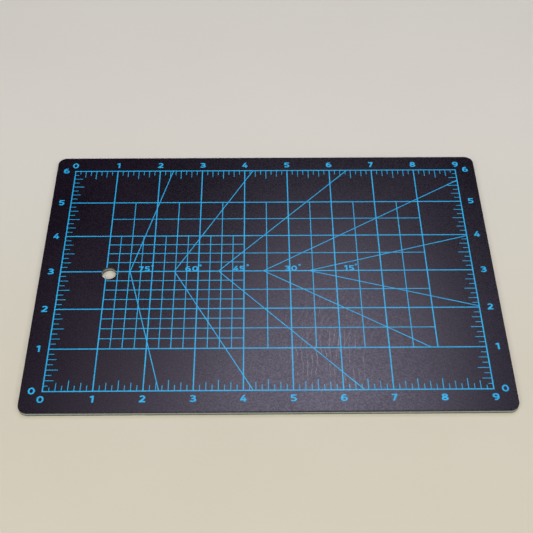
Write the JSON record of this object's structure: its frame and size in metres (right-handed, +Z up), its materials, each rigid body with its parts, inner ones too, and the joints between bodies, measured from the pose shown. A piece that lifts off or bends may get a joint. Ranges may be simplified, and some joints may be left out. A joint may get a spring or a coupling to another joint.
{
  "type": "self-healing cutting mat",
  "caption": "Small rectangular laminated cutting mat with rounded corners, a hang hole and a printed inch grid with edge rules and angle guides.",
  "frame": {"origin": "centre of the mat's underside", "axes": "+X along the long side, from the 0 to the 9 of the front scale; +Y along the short side, from the front scale to the back scale; +Z up, out of the printed face"},
  "size_m": [0.2516, 0.1756, 0.0031],
  "materials": {
    "top_ply": "soft black PVC, fine matte grain with a low sheen",
    "core_ply": "pale grey stiff plastic, sawn-smooth edge",
    "base_ply": "dark grey-green PVC, fine matte grain",
    "blue_ink": "screen-printed bright blue ink, satin"
  },
  "bodies": {
    "root": {"base_ply": "base_ply", "core_ply": "core_ply", "top_ply": "top_ply", "printed_grid": "blue_ink", "angle_guide_75": "blue_ink", "angle_guide_60": "blue_ink", "angle_guide_45": "blue_ink", "angle_guide_30": "blue_ink", "angle_guide_15": "blue_ink", "angle_label_75_7": "blue_ink", "angle_label_75_5": "blue_ink", "angle_label_75_degree": "blue_ink", "angle_label_60_6": "blue_ink", "angle_label_60_0": "blue_ink", "angle_label_60_degree": "blue_ink", "angle_label_45_4": "blue_ink", "angle_label_45_5": "blue_ink", "angle_label_45_degree": "blue_ink", "angle_label_30_3": "blue_ink", "angle_label_30_0": "blue_ink", "angle_label_30_degree": "blue_ink", "angle_label_15_1": "blue_ink", "angle_label_15_5": "blue_ink", "angle_label_15_degree": "blue_ink", "front_scale_0": "blue_ink", "front_scale_1": "blue_ink", "front_scale_2": "blue_ink", "front_scale_3": "blue_ink", "front_scale_4": "blue_ink", "front_scale_5": "blue_ink", "front_scale_6": "blue_ink", "front_scale_7": "blue_ink", "front_scale_8": "blue_ink", "front_scale_9": "blue_ink", "back_scale_0": "blue_ink", "back_scale_1": "blue_ink", "back_scale_2": "blue_ink", "back_scale_3": "blue_ink", "back_scale_4": "blue_ink", "back_scale_5": "blue_ink", "back_scale_6": "blue_ink", "back_scale_7": "blue_ink", "back_scale_8": "blue_ink", "back_scale_9": "blue_ink", "left_scale_0": "blue_ink", "left_scale_1": "blue_ink", "left_scale_2": "blue_ink", "left_scale_3": "blue_ink", "left_scale_4": "blue_ink", "left_scale_5": "blue_ink", "left_scale_6": "blue_ink", "right_scale_0": "blue_ink", "right_scale_1": "blue_ink", "right_scale_2": "blue_ink", "right_scale_3": "blue_ink", "right_scale_4": "blue_ink", "right_scale_5": "blue_ink", "right_scale_6": "blue_ink"}
  },
  "joints": []
}
